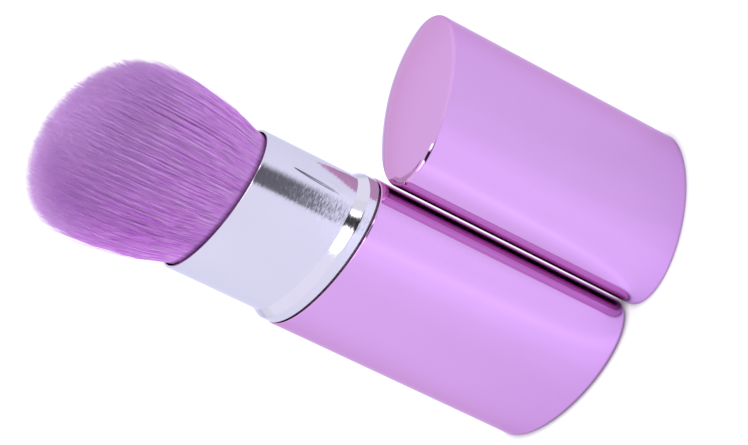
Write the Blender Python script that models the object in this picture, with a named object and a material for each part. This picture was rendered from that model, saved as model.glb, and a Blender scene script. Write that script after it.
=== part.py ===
"""Telescopic oval powder brush, standing on its base with the bristles up and its cap beside it.

Metres, +Z up. The origin is the centre of the handle's flat base, and X runs along the oval's long axis.
"""

import math
import random

import bmesh
import bpy
from mathutils import Matrix, Vector
from mathutils.geometry import delaunay_2d_cdt

MM = 0.001

# Oval of the handle and the cap, from its centre
HALF_LONG = 19.0 * MM
HALF_SHORT = 11.05 * MM

# Room between pieces
SEAT_GAP = 0.3 * MM
SLIDE_GAP = 0.3 * MM

# Outer sleeve, a drawn cup that is the handle
SLEEVE_HEIGHT = 52.2 * MM
SLEEVE_WALL = 0.7 * MM
SLEEVE_FLOOR = 0.8 * MM
SLEEVE_CORNER = 1.0 * MM
SLEEVE_LIP = 0.25 * MM

# Guide bush in the sleeve's mouth
BUSH_HEIGHT = 8.4 * MM
BUSH_WALL = 0.7 * MM
BUSH_RECESS = 0.2 * MM

# Slider tube, with a stop flange round its foot
SLIDER_WALL = 0.9 * MM
SLIDER_BELOW_MOUTH = 8.0 * MM
STOP_HEIGHT = 2.5 * MM
DRAG_HEIGHT = 2.0 * MM
DRAG_ROUND = 0.2 * MM

# Collar with its shoulder band
COLLAR_HEIGHT = 21.8 * MM
COLLAR_SETBACK = 1.2 * MM
COLLAR_WALL = 0.5 * MM
BAND_SETBACK = 0.2 * MM
BAND_WALL = 0.5 * MM
BAND_LAND = 1.7 * MM
BAND_EDGE = 0.15 * MM
SHOULDER_ROUND = 1.0 * MM
SHOULDER_FILLET = 0.6 * MM
SHOULDER_LEAN = math.radians(30.0)
CARRIER_HEIGHT = 1.6 * MM

# Grip ribs, pressed out of the collar at both ends of the oval
RIB_LENGTH = 10.4 * MM
RIB_WIDTH = 2.0 * MM
RIB_RISE = 0.4 * MM
RIB_BELOW_MOUTH = 5.4 * MM
RIB_ANGLE = math.radians(-11.5)
RIB_SLANT = math.radians(-5.0)

# Base weight, plug and screws
WEIGHT_HEIGHT = 3.0 * MM
WEIGHT_BEVEL = 0.3 * MM
PLUG_SKIRT = 1.2 * MM
PLUG_WEB = 2.0 * MM
SCREW_SPACING = 9.0 * MM
SCREW_RADIUS = 0.9 * MM
SCREW_LENGTH = 6.5 * MM
SCREW_HEAD_RADIUS = 1.8 * MM
SCREW_HEAD_HEIGHT = 1.1 * MM
SCREW_HEAD_ROUND = 0.4 * MM
SCREW_POINT_SHARE = 1 / 3

# Core post that carries the bristle head
POST_HALF_LONG = 8.5 * MM
POST_HALF_SHORT = 4.0 * MM
POST_WALL = 1.3 * MM
POST_FLOOR = 6.0 * MM

# Ferrule cup on the post
CUP_RIM_BELOW_MOUTH = 12.0 * MM
CUP_GAP = 0.4 * MM
CUP_WALL = 0.7 * MM
CUP_DEPTH = 9.0 * MM
CUP_FLOOR = 1.2 * MM
SOCKET_DEPTH = 5.0 * MM
SOCKET_WALL = 1.0 * MM

# Bristle head
BACKING_HEIGHT = 1.5 * MM
BACKING_BELOW_RIM = 0.3 * MM
STRAND_PITCH = 1.0 * MM
STRAND_ROOT = 0.40 * MM
STRAND_MOUTH = 0.45 * MM
STRAND_FLARE = 0.52 * MM
STRAND_BELLY = 0.6 * MM
STRAND_MARGIN = 0.6 * MM
TUFT_HALF_LONG = 20.4 * MM
TUFT_HALF_SHORT = 11.6 * MM
TUFT_WIDEST_ABOVE_MOUTH = 20.2 * MM
TUFT_DOME = 12.0 * MM
TIP_SCATTER = 0.5 * MM
FLARE_POWER = 2.4
FLARE_SHARE = 0.26
BELLY_SHARE = 0.78

# Cap, a drawn cup with a low dome, and where it stands beside the handle
CAP_WALL_HEIGHT = 49.9 * MM
CAP_CORNER = 0.9 * MM
CAP_DOME = 3.2 * MM
CAP_WALL = 0.7 * MM
CAP_LIP = 0.15 * MM
CAP_STANDS_OFF = 0.68 * MM
CAP_STANDS_BACK = 0.4 * MM

# Facets
OVAL_SIDES = 48
SCREW_SIDES = 16
CORNER_STEPS = 3
SHOULDER_STEPS = 3
DOME_SHARES = (0.88, 0.7, 0.48, 0.22)
RIB_SIDES = 12
RIB_RINGS = 8
STRAND_SIDES = 3
GOLDEN_ANGLE = math.pi * (3 - math.sqrt(5))
SHARP_ANGLE = math.radians(35)
RIM_TRACE_STEPS = 20 * OVAL_SIDES
CAP_TRACE_STEPS = 4 * OVAL_SIDES
CAP_PLACE_HALVINGS = 16
TIP_SEED = 7
FLAT_TOLERANCE = 1e-6

# Heights that follow
collar_foot = SLEEVE_HEIGHT + SEAT_GAP
mouth = collar_foot + COLLAR_HEIGHT
web_foot = SLEEVE_FLOOR + WEIGHT_HEIGHT + SCREW_HEAD_HEIGHT + 3 * SEAT_GAP
web_top = web_foot + PLUG_WEB
slider_foot = web_top + 2 * SLIDE_GAP
stop_top = slider_foot + STOP_HEIGHT
drag_foot = stop_top + SEAT_GAP
drag_top = drag_foot + DRAG_HEIGHT
bush_top = SLEEVE_HEIGHT - BUSH_RECESS
bush_foot = bush_top - BUSH_HEIGHT
cup_rim = mouth - CUP_RIM_BELOW_MOUTH
cup_bed = cup_rim - CUP_DEPTH
cup_under = cup_bed - CUP_FLOOR
post_foot = web_top + SEAT_GAP
post_top = cup_under - SEAT_GAP
backing_top = cup_rim - BACKING_BELOW_RIM
backing_foot = backing_top - BACKING_HEIGHT
widest = mouth + TUFT_WIDEST_ABOVE_MOUTH

# Insets from the oval's surface that follow
bush_inset = SLEEVE_WALL + SEAT_GAP
slider_inset = bush_inset + BUSH_WALL + SLIDE_GAP
band_inner = BAND_SETBACK + BAND_WALL
slider_bore = slider_inset + SLIDER_WALL
stop_inset = SLEEVE_WALL + SLIDE_GAP
ring_bore = slider_inset - SEAT_GAP
cup_inset = slider_bore + CUP_GAP
resin_inset = cup_inset + CUP_WALL + SEAT_GAP
plug_inset = SLEEVE_WALL + SEAT_GAP
weight_inset = plug_inset + PLUG_SKIRT + SEAT_GAP


def clear_scene():
    for obj in list(bpy.data.objects):
        bpy.data.objects.remove(obj, do_unlink=True)


def material(name, colour, roughness, metallic=0.0):
    made = bpy.data.materials.new(name)
    made.use_nodes = True
    shader = made.node_tree.nodes["Principled BSDF"]
    shader.inputs["Base Color"].default_value = (*colour, 1.0)
    shader.inputs["Roughness"].default_value = roughness
    shader.inputs["Metallic"].default_value = metallic
    made.diffuse_color = (*colour, 1.0)
    return made


def empty(name, location=(0, 0, 0), turn=0.0):
    frame = bpy.data.objects.new(name, None)
    frame.location = location
    frame.rotation_euler.z = turn
    bpy.context.scene.collection.objects.link(frame)
    return frame


def finish(name, bm, finish_material, parent):
    """Turns a bmesh into a named, smooth-shaded object under its frame."""
    bmesh.ops.recalc_face_normals(bm, faces=bm.faces)
    mesh = bpy.data.meshes.new(name)
    bm.to_mesh(mesh)
    bm.free()
    mesh.shade_smooth()
    mesh.set_sharp_from_angle(angle=SHARP_ANGLE)
    mesh.materials.append(finish_material)
    obj = bpy.data.objects.new(name, mesh)
    obj.parent = parent
    bpy.context.scene.collection.objects.link(obj)
    return obj


def inset(depth, height):
    """One ring of the main oval, this far inside its surface."""
    return HALF_LONG - depth, HALF_SHORT - depth, height


def add_ring(bm, row, sides):
    half_long, half_short, height = row
    step = 2 * math.pi / sides
    return [
        bm.verts.new((half_long * math.cos(i * step), half_short * math.sin(i * step), height))
        for i in range(sides)
    ]


def bridge(bm, lower, upper):
    for i in range(len(lower)):
        k = (i + 1) % len(lower)
        bm.faces.new((lower[i], lower[k], upper[k], upper[i]))


def oval_solid(rows, closed=False, sides=OVAL_SIDES):
    """Rings joined one to the next. A closed profile is a ring-shaped piece, an open one has flat ends."""
    bm = bmesh.new()
    rings = [add_ring(bm, row, sides) for row in rows]
    for lower, upper in zip(rings, rings[1:]):
        bridge(bm, lower, upper)
    if closed:
        bridge(bm, rings[-1], rings[0])
    else:
        bm.faces.new(rings[0])
        bm.faces.new(rings[-1])
    return bm


def corner(depth, height, radius):
    """Rounding at the top of a wall: insets and heights from the wall round to level."""
    turns = [math.pi / 2 * i / CORNER_STEPS for i in range(CORNER_STEPS + 1)]
    return [
        (depth + radius * (1 - math.cos(turn)), height + radius * math.sin(turn))
        for turn in turns
    ]


def make_sleeve(finish_material, frame):
    outside = [inset(d, SLEEVE_CORNER - h) for d, h in reversed(corner(0, 0, SLEEVE_CORNER))]
    rows = outside + [
        inset(0, SLEEVE_HEIGHT - SLEEVE_LIP),
        inset(SLEEVE_LIP, SLEEVE_HEIGHT),
        inset(SLEEVE_WALL, SLEEVE_HEIGHT),
        inset(SLEEVE_WALL, SLEEVE_FLOOR),
    ]
    return finish("outer_sleeve", oval_solid(rows), finish_material, frame)


def make_weight(finish_material, frame):
    foot = SLEEVE_FLOOR + SEAT_GAP
    top = foot + WEIGHT_HEIGHT
    rows = [
        inset(weight_inset, foot),
        inset(weight_inset, top - WEIGHT_BEVEL),
        inset(weight_inset + WEIGHT_BEVEL, top),
    ]
    return finish("base_weight", oval_solid(rows), finish_material, frame)


def add_turned(bm, rows, x):
    """A round solid along Z, centred on X, through rows of radius and height."""
    rings = [add_ring(bm, (radius, radius, height), SCREW_SIDES) for radius, height in rows]
    for lower, upper in zip(rings, rings[1:]):
        bridge(bm, lower, upper)
    bm.faces.new(rings[0])
    bm.faces.new(rings[-1])
    for ring in rings:
        bmesh.ops.translate(bm, verts=ring, vec=(x, 0, 0))


def screw_places():
    return (-SCREW_SPACING / 2, SCREW_SPACING / 2)


def cut_screw_holes(obj, foot, top, frame):
    """Takes a clearance hole for each screw out of a piece."""
    overrun = SEAT_GAP
    bm = bmesh.new()
    radius = SCREW_RADIUS + SEAT_GAP
    for x in screw_places():
        add_turned(bm, [(radius, foot - overrun), (radius, top + overrun)], x)
    cutter = finish(obj.name + "_cutter", bm, obj.data.materials[0], frame)
    cutter.hide_render = True
    cutter.display_type = "WIRE"
    cut = obj.modifiers.new("screw_holes", "BOOLEAN")
    cut.operation = "DIFFERENCE"
    cut.object = cutter


def make_plug(finish_material, frame):
    foot = SLEEVE_FLOOR + SEAT_GAP
    inner = plug_inset + PLUG_SKIRT
    rows = [
        inset(inner, web_foot),
        inset(inner, foot),
        inset(plug_inset, foot),
        inset(plug_inset, web_top),
    ]
    plug = finish("base_plug", oval_solid(rows), finish_material, frame)
    cut_screw_holes(plug, web_foot, web_top, frame)


def make_screws(finish_material, frame):
    """Two pan-head screws that come up through the plug into the post, heads down."""
    head_top = web_foot - SEAT_GAP
    head_foot = head_top - SCREW_HEAD_HEIGHT
    end = head_top + SCREW_LENGTH
    rows = [
        (SCREW_HEAD_RADIUS - SCREW_HEAD_ROUND, head_foot),
        (SCREW_HEAD_RADIUS, head_foot + SCREW_HEAD_ROUND),
        (SCREW_HEAD_RADIUS, head_top),
        (SCREW_RADIUS, head_top),
        (SCREW_RADIUS, end - SCREW_RADIUS),
        (SCREW_RADIUS * SCREW_POINT_SHARE, end),
    ]
    for number, x in enumerate(screw_places(), 1):
        bm = bmesh.new()
        add_turned(bm, rows, x)
        finish(f"post_screw_{number}", bm, finish_material, frame)


def make_post(finish_material, frame):
    def row(depth, height):
        return POST_HALF_LONG - depth, POST_HALF_SHORT - depth, height

    rows = [
        row(0, post_foot),
        row(0, post_top),
        row(POST_WALL, post_top),
        row(POST_WALL, post_foot + POST_FLOOR),
    ]
    post = finish("core_post", oval_solid(rows), finish_material, frame)
    cut_screw_holes(post, post_foot, post_foot + POST_FLOOR, frame)


def make_cup(finish_material, frame):
    """An upper cup for the bristles and a lower socket that fits over the post."""

    def socket(depth, height):
        return POST_HALF_LONG + depth, POST_HALF_SHORT + depth, height

    wall = cup_inset + CUP_WALL
    rows = [
        inset(wall, cup_bed),
        inset(wall, cup_rim),
        inset(cup_inset, cup_rim),
        inset(cup_inset, cup_under),
        socket(SEAT_GAP + SOCKET_WALL, cup_under),
        socket(SEAT_GAP + SOCKET_WALL, cup_under - SOCKET_DEPTH),
        socket(SEAT_GAP, cup_under - SOCKET_DEPTH),
        socket(SEAT_GAP, cup_under),
    ]
    finish("ferrule_cup", oval_solid(rows), finish_material, frame)


def make_resin(finish_material, frame):
    rows = [
        inset(resin_inset, cup_bed + SEAT_GAP),
        inset(resin_inset, backing_foot - SEAT_GAP),
    ]
    finish("tuft_resin", oval_solid(rows), finish_material, frame)


def ring_piece(name, outer, bore, foot, top, edge, finish_material, frame):
    """A plain oval ring with its outer edges eased."""
    rows = [
        inset(outer + edge, foot),
        inset(outer, foot + edge),
        inset(outer, top - edge),
        inset(outer + edge, top),
        inset(bore, top),
        inset(bore, foot),
    ]
    finish(name, oval_solid(rows, closed=True), finish_material, frame)


def make_slider(finish_material, frame):
    top = mouth - SLIDER_BELOW_MOUTH
    rows = [
        inset(stop_inset, slider_foot),
        inset(stop_inset, stop_top),
        inset(slider_inset, stop_top),
        inset(slider_inset, top),
        inset(slider_bore, top),
        inset(slider_bore, slider_foot),
    ]
    finish("slider_tube", oval_solid(rows, closed=True), finish_material, frame)


def shoulder_rows():
    """The band's land, its rounded edge, the lean towards the wall and the fillet into it."""
    foot = collar_foot + BAND_LAND
    turns = [SHOULDER_LEAN * i / SHOULDER_STEPS for i in range(SHOULDER_STEPS + 1)]
    rows = []
    for turn in turns:
        depth = BAND_SETBACK + SHOULDER_ROUND * (1 - math.cos(turn))
        rows.append(inset(depth, foot + SHOULDER_ROUND * math.sin(turn)))
    lean_foot = foot + SHOULDER_ROUND * math.sin(SHOULDER_LEAN)
    rounds = (SHOULDER_ROUND + SHOULDER_FILLET) * (1 - math.cos(SHOULDER_LEAN))
    lean_reach = COLLAR_SETBACK - BAND_SETBACK - rounds
    lean_top = lean_foot + lean_reach / math.tan(SHOULDER_LEAN)
    for turn in reversed(turns):
        depth = COLLAR_SETBACK - SHOULDER_FILLET * (1 - math.cos(turn))
        up = SHOULDER_FILLET * (math.sin(SHOULDER_LEAN) - math.sin(turn))
        rows.append(inset(depth, lean_top + up))
    return rows


def make_collar(finish_material, frame):
    wall_inner = COLLAR_SETBACK + COLLAR_WALL
    carrier_top = collar_foot + CARRIER_HEIGHT
    bed = carrier_top + SEAT_GAP
    rows = [inset(BAND_SETBACK + BAND_EDGE, collar_foot), inset(BAND_SETBACK, collar_foot + BAND_EDGE)]
    rows += shoulder_rows()
    rows += [
        inset(COLLAR_SETBACK, mouth - BAND_EDGE),
        inset(COLLAR_SETBACK + BAND_EDGE, mouth),
        inset(wall_inner, mouth),
        inset(wall_inner, bed + (wall_inner - band_inner) / math.tan(SHOULDER_LEAN)),
        inset(band_inner, bed),
        inset(band_inner, collar_foot),
    ]
    collar = finish("collar_shell", oval_solid(rows, closed=True), finish_material, frame)
    for i in range(2):
        rib = make_rib(i * math.pi, finish_material, frame)
        join = collar.modifiers.new(rib.name, "BOOLEAN")
        join.operation = "UNION"
        join.object = rib


def make_rib(turn, finish_material, frame):
    """A slim lens half sunk in the collar's wall, along the brush."""
    half_long = HALF_LONG - COLLAR_SETBACK
    half_short = HALF_SHORT - COLLAR_SETBACK
    x = half_long * math.cos(RIB_ANGLE)
    y = half_short * math.sin(RIB_ANGLE)
    outward = math.atan2(y / half_short**2, x / half_long**2)
    height = mouth - RIB_BELOW_MOUTH - RIB_LENGTH / 2
    bm = bmesh.new()
    bmesh.ops.create_uvsphere(bm, u_segments=RIB_SIDES, v_segments=RIB_RINGS, radius=1)
    place = (
        Matrix.Rotation(turn, 4, "Z")
        @ Matrix.Translation((x, y, height))
        @ Matrix.Rotation(outward, 4, "Z")
        @ Matrix.Rotation(RIB_SLANT, 4, "X")
        @ Matrix.Diagonal((RIB_RISE, RIB_WIDTH / 2, RIB_LENGTH / 2, 1))
    )
    bmesh.ops.transform(bm, matrix=place, verts=bm.verts)
    rib = finish("grip_rib_" + ("near" if turn == 0 else "far"), bm, finish_material, frame)
    rib.hide_render = True
    rib.display_type = "WIRE"
    return rib


def root_half_axes():
    return (
        HALF_LONG - resin_inset - STRAND_MARGIN,
        HALF_SHORT - resin_inset - STRAND_MARGIN,
    )


def rim_roots(half_long, half_short):
    """Roots at even steps along the oval, for the outermost strands."""
    step = 2 * math.pi / RIM_TRACE_STEPS
    points = [
        Vector((half_long * math.cos(i * step), half_short * math.sin(i * step)))
        for i in range(RIM_TRACE_STEPS + 1)
    ]
    lengths = [0.0]
    for here, there in zip(points, points[1:]):
        lengths.append(lengths[-1] + (there - here).length)
    count = int(lengths[-1] / STRAND_PITCH)
    roots = []
    k = 0
    for i in range(count):
        goal = lengths[-1] * i / count
        while lengths[k + 1] < goal:
            k += 1
        share = (goal - lengths[k]) / (lengths[k + 1] - lengths[k])
        roots.append(points[k].lerp(points[k + 1], share))
    return roots


def inner_roots(half_long, half_short):
    """Roots on a hexagonal lattice inside the outermost ones."""
    row_step = STRAND_PITCH * math.sqrt(3) / 2
    half_long -= row_step
    half_short -= row_step
    roots = []
    most = int(half_short / row_step)
    for j in range(-most, most + 1):
        y = j * row_step
        shift = STRAND_PITCH / 2 if j % 2 else 0.0
        reach = half_long * math.sqrt(1 - (y / half_short) ** 2)
        start = math.ceil((-reach - shift) / STRAND_PITCH)
        stop = math.floor((reach - shift) / STRAND_PITCH)
        roots += [Vector((i * STRAND_PITCH + shift, y)) for i in range(start, stop + 1)]
    return roots


def flare(share):
    """How far the head has spread: fast at the collar's mouth, none where it is widest."""
    return 1 - (1 - min(share, 1.0)) ** FLARE_POWER


def tuft_half_axes(height):
    """Half axes of the oval that the strands' centres fill at this height."""
    root_long, root_short = root_half_axes()
    room = COLLAR_SETBACK + COLLAR_WALL + SLIDE_GAP + STRAND_MOUTH
    mouth_long, mouth_short = HALF_LONG - room, HALF_SHORT - room
    if height <= mouth:
        share = (height - backing_top) / (mouth - backing_top)
        return (
            root_long + (mouth_long - root_long) * share,
            root_short + (mouth_short - root_short) * share,
        )
    share = flare((height - mouth) / (widest - mouth))
    return (
        mouth_long + (TUFT_HALF_LONG - mouth_long) * share,
        mouth_short + (TUFT_HALF_SHORT - mouth_short) * share,
    )


def strand_stations(root, scatter):
    """Centre, height and radius of a strand at the mouth, its flare, its belly and its tip."""
    root_long, root_short = root_half_axes()
    u, v = root.x / root_long, root.y / root_short
    away = min(math.hypot(u, v), 1.0)
    tip = widest + TUFT_DOME * math.sqrt(1 - away * away) + scatter
    length = tip - mouth
    along = ((0, STRAND_MOUTH), (FLARE_SHARE, STRAND_FLARE), (BELLY_SHARE, STRAND_BELLY), (1, 0))
    stations = []
    for share, radius in along:
        height = mouth + length * share
        half_long, half_short = tuft_half_axes(height)
        stations.append((u * half_long, v * half_short, height, radius))
    return stations


def strand_ring(x, y, radius, turn):
    step = 2 * math.pi / STRAND_SIDES
    return [
        Vector((x + radius * math.cos(turn + i * step), y + radius * math.sin(turn + i * step)))
        for i in range(STRAND_SIDES)
    ]


def add_strand(bm, root_ring, stations, turn):
    lower = root_ring
    for x, y, height, radius in stations[:-1]:
        upper = [bm.verts.new((*point, height)) for point in strand_ring(x, y, radius, turn)]
        bridge(bm, lower, upper)
        lower = upper
    x, y, height, _ = stations[-1]
    tip = bm.verts.new((x, y, height))
    for i in range(STRAND_SIDES):
        bm.faces.new((lower[i], lower[(i + 1) % STRAND_SIDES], tip))


def make_bristles(finish_material, frame):
    """Strands that grow out of the top slice of the resin and flare past the collar's mouth."""
    draw = random.Random(TIP_SEED)
    roots = rim_roots(*root_half_axes()) + inner_roots(*root_half_axes())
    turns = [i * GOLDEN_ANGLE for i in range(len(roots))]
    bm = bmesh.new()
    foot = add_ring(bm, inset(resin_inset, backing_foot), OVAL_SIDES)
    top = add_ring(bm, inset(resin_inset, backing_top), OVAL_SIDES)
    bm.faces.new(foot)
    bridge(bm, foot, top)
    flat = [vert.co.xy / MM for vert in top]
    verts = list(top)
    faces = [list(range(OVAL_SIDES))]
    for root, turn in zip(roots, turns):
        ring = strand_ring(root.x, root.y, STRAND_ROOT, turn)
        faces.append(list(range(len(verts), len(verts) + STRAND_SIDES)))
        verts += [bm.verts.new((*point, backing_top)) for point in ring]
        flat += [point / MM for point in ring]
    _, _, cells, origins, _, owners = delaunay_2d_cdt(flat, [], faces, 1, FLAT_TOLERANCE)
    for cell, owner in zip(cells, owners):
        if owner == [0]:
            bm.faces.new([verts[origins[i][0]] for i in cell])
    for face, root, turn in zip(faces[1:], roots, turns):
        scatter = draw.uniform(-TIP_SCATTER, TIP_SCATTER)
        ring = [verts[i] for i in face]
        add_strand(bm, ring, strand_stations(root, scatter), turn)
    print("strands", len(roots))
    finish("bristles", bm, finish_material, frame)


def cap_rows():
    """The cap's outside from its rim up over the dome, then the inside back down to the rim."""
    inner = [(CAP_WALL, 0), (CAP_WALL, CAP_WALL_HEIGHT)]
    outer = [(CAP_LIP, 0), (0, CAP_LIP)] + corner(0, CAP_WALL_HEIGHT, CAP_CORNER)
    crown_foot = CAP_WALL_HEIGHT + CAP_CORNER
    outer_rows = [inset(*point) for point in outer]
    inner_rows = [inset(*point) for point in inner]
    for share in DOME_SHARES:
        rise = CAP_DOME * (1 - share * share)
        half_long = (HALF_LONG - CAP_CORNER) * share
        half_short = (HALF_SHORT - CAP_CORNER) * share
        outer_rows.append((half_long, half_short, crown_foot + rise))
        half_long = (HALF_LONG - CAP_WALL) * share
        half_short = (HALF_SHORT - CAP_WALL) * share
        inner_rows.append((half_long, half_short, crown_foot - CAP_WALL + rise))
    return list(reversed(outer_rows)) + inner_rows


def nearest(center):
    """Least distance from the cap's oval to the handle's, less than zero when they cross."""
    steps = [2 * math.pi * i / CAP_TRACE_STEPS for i in range(CAP_TRACE_STEPS)]
    cap = [Vector((center.x + HALF_SHORT * math.cos(t), center.y + HALF_LONG * math.sin(t))) for t in steps]
    handle = [Vector((HALF_LONG * math.cos(t), HALF_SHORT * math.sin(t))) for t in steps]
    if min(math.hypot(point.x / HALF_LONG, point.y / HALF_SHORT) for point in cap) < 1:
        return -1.0
    return min((here - there).length for here in cap for there in handle)


def cap_place():
    """Where the cap stands: set back along Y, then brought up along X until it is the stand-off away."""
    back = HALF_LONG + CAP_STANDS_BACK
    near, far = 0.0, 2 * HALF_LONG
    for _ in range(CAP_PLACE_HALVINGS):
        middle = (near + far) / 2
        if nearest(Vector((middle, back))) < CAP_STANDS_OFF:
            near = middle
        else:
            far = middle
    return far, back, 0.0


def make_cap(finish_material, frame):
    finish("cap_shell", oval_solid(cap_rows()), finish_material, frame)


def main():
    clear_scene()
    handle = empty("handle_frame")
    collar = empty("collar_frame")
    cap = empty("cap_frame", cap_place(), math.pi / 2)
    collar.parent = handle

    lilac = material("lilac_anodised", (0.62, 0.36, 0.80), 0.22, 1.0)
    silver = material("silver_satin", (0.80, 0.80, 0.86), 0.25, 1.0)
    steel = material("plain_steel", (0.42, 0.42, 0.44), 0.4, 1.0)
    plastic = material("white_plastic", (0.82, 0.82, 0.84), 0.45)
    rubber = material("dark_rubber", (0.05, 0.05, 0.06), 0.8)
    resin = material("clear_resin", (0.75, 0.66, 0.45), 0.3)
    fibre = material("lilac_fibre", (0.46, 0.19, 0.62), 0.6)

    make_sleeve(lilac, handle)
    make_weight(steel, handle)
    make_plug(plastic, handle)
    make_screws(steel, handle)
    make_post(plastic, handle)
    make_cup(plastic, handle)
    make_resin(resin, handle)
    make_bristles(fibre, handle)
    bush_bore = bush_inset + BUSH_WALL
    ring_piece("guide_bush", bush_inset, bush_bore, bush_foot, bush_top, BAND_EDGE, plastic, handle)
    make_slider(plastic, collar)
    ring_piece("drag_ring", stop_inset, ring_bore, drag_foot, drag_top, DRAG_ROUND, rubber, collar)
    outer = band_inner + SEAT_GAP
    top = collar_foot + CARRIER_HEIGHT
    ring_piece("collar_carrier", outer, ring_bore, collar_foot, top, BAND_EDGE, plastic, collar)
    make_collar(silver, collar)
    make_cap(lilac, cap)
    print("collar travel", round((bush_foot - drag_top - SEAT_GAP) / MM, 2), "mm")


main()
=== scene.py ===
import math

import bpy
import numpy as np
from mathutils import Matrix, Vector, noise


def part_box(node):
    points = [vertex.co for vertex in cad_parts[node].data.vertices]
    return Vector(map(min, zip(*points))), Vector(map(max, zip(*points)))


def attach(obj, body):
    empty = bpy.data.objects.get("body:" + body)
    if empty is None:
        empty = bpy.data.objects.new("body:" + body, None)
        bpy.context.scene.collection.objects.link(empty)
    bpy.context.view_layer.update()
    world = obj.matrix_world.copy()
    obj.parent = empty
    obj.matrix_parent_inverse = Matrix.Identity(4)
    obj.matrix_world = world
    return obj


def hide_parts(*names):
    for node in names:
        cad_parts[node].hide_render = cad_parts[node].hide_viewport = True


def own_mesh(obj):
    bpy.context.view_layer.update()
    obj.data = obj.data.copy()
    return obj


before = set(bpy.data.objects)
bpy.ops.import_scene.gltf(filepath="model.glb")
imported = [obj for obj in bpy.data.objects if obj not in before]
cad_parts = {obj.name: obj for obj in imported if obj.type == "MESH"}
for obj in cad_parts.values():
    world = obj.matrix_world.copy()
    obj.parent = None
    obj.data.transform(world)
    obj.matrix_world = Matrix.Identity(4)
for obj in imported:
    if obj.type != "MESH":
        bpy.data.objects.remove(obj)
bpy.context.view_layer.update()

mm = 0.001

# The frame's own sizes, read once
_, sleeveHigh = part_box("outer_sleeve")
collarLow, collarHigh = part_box("collar_shell")
capLow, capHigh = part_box("cap_shell")
bristlesLow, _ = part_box("bristles")
bushLow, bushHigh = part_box("guide_bush")
sliderLow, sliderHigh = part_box("slider_tube")

halfLong, halfShort = sleeveHigh.x, sleeveHigh.y
mouthZ = collarHigh.z
capMiddle = (capLow + capHigh) / 2


# Camera, at the photograph's angle

camera = {
    "azimuth": 45.0,
    "elevation": 21.5,
    "roll": -63.78,
    "distance": 445.29 * mm,
    "aim": Vector((6.066, 6.075, 45.876)) * mm,
    "lens": 121.98,
    "nearest": 10 * mm,
}


def addCamera(c):
    az, el, roll = (math.radians(c[key]) for key in ("azimuth", "elevation", "roll"))
    back = Vector((math.sin(az) * math.cos(el), -math.cos(az) * math.cos(el), math.sin(el)))
    level = Vector((math.cos(az), math.sin(az), 0))
    upright = back.cross(level)
    across = level * math.cos(roll) + upright * math.sin(roll)
    upward = upright * math.cos(roll) - level * math.sin(roll)
    bpy.ops.object.camera_add(location=c["aim"] + back * c["distance"])
    made = bpy.context.object
    made.rotation_euler = Matrix((across, upward, back)).transposed().to_euler()
    made.data.lens = c["lens"]
    made.data.clip_start = c["nearest"]
    bpy.context.scene.camera = made


addCamera(camera)
print("camera set")


# Modelling helpers, and what all drawn shells share

shell = {
    "sides": 256,
    "edgeHold": 0.05 * mm,
    "weld": 0.001 * mm,
    "sharpDegrees": 32,
}


def selectNothing():
    if bpy.context.mode != "OBJECT":
        bpy.ops.object.mode_set(mode="OBJECT")
    bpy.ops.object.select_all(action="DESELECT")


def startOval(name, ring, sides, filled):
    selectNothing()
    fill = "NGON" if filled else "NOTHING"
    bpy.ops.mesh.primitive_circle_add(vertices=sides, radius=1, fill_type=fill, location=(0, 0, 0))
    piece = bpy.context.object
    piece.name = name
    piece.data.name = name
    bpy.ops.object.mode_set(mode="EDIT")
    bpy.ops.mesh.select_all(action="SELECT")
    bpy.ops.transform.resize(value=(ring[0], ring[1], 1), center_override=(0, 0, 0))
    bpy.ops.transform.translate(value=(0, 0, ring[2]))
    if filled:
        # Only the outline goes on, not the flat end
        bpy.ops.mesh.select_mode(type="EDGE")
        bpy.ops.mesh.region_to_loop()
    return piece


def raiseRings(rings):
    # Extrudes the selected outline from each ring of half axes and height to the next
    for here, there in zip(rings, rings[1:]):
        bpy.ops.mesh.extrude_region_move(TRANSFORM_OT_translate={"value": (0, 0, there[2] - here[2])})
        ratio = (there[0] / here[0], there[1] / here[1], 1)
        bpy.ops.transform.resize(value=ratio, center_override=(0, 0, 0))


def closeEnd(how):
    if how == "face":
        bpy.ops.mesh.edge_face_add()
    elif how == "pole":
        bpy.ops.mesh.merge(type="CENTER")
    elif how == "ring":
        bpy.ops.mesh.select_all(action="DESELECT")
        bpy.ops.mesh.select_non_manifold()
        bpy.ops.mesh.bridge_edge_loops()


def finishPiece(piece):
    bpy.ops.mesh.select_all(action="SELECT")
    bpy.ops.mesh.remove_doubles(threshold=shell["weld"])
    bpy.ops.mesh.normals_make_consistent(inside=False)
    bpy.ops.object.mode_set(mode="OBJECT")
    bpy.ops.object.transform_apply(location=True, rotation=True, scale=True)
    bpy.ops.object.shade_smooth_by_angle(angle=math.radians(shell["sharpDegrees"]))
    return piece


def drawnShell(name, rings, end, sides=shell["sides"], filled=False):
    piece = startOval(name, rings[0], sides, filled)
    raiseRings(rings)
    closeEnd(end)
    return finishPiece(piece)


def inset(depth, height):
    return halfLong - depth, halfShort - depth, height


def arc(centreDepth, centreHeight, radius, fromDegrees, toDegrees, steps):
    # Rings along an arc; 0 degrees points out of the wall and 90 up
    rings = []
    for i in range(steps + 1):
        turn = math.radians(fromDegrees + (toDegrees - fromDegrees) * i / steps)
        outward, upward = radius * math.cos(turn), radius * math.sin(turn)
        rings.append(inset(centreDepth - outward, centreHeight + upward))
    return rings


def wallRings(depth, foot, top, count):
    # Rings up a straight wall, with one close to each end so that it stays flat when it is shaded
    hold = shell["edgeHold"]
    steps = [foot + hold, *(foot + (top - foot) * i / count for i in range(1, count)), top - hold]
    return [inset(depth, height) for height in steps]


# Handle sleeve, a drawn cup with a turned-in bottom corner

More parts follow.
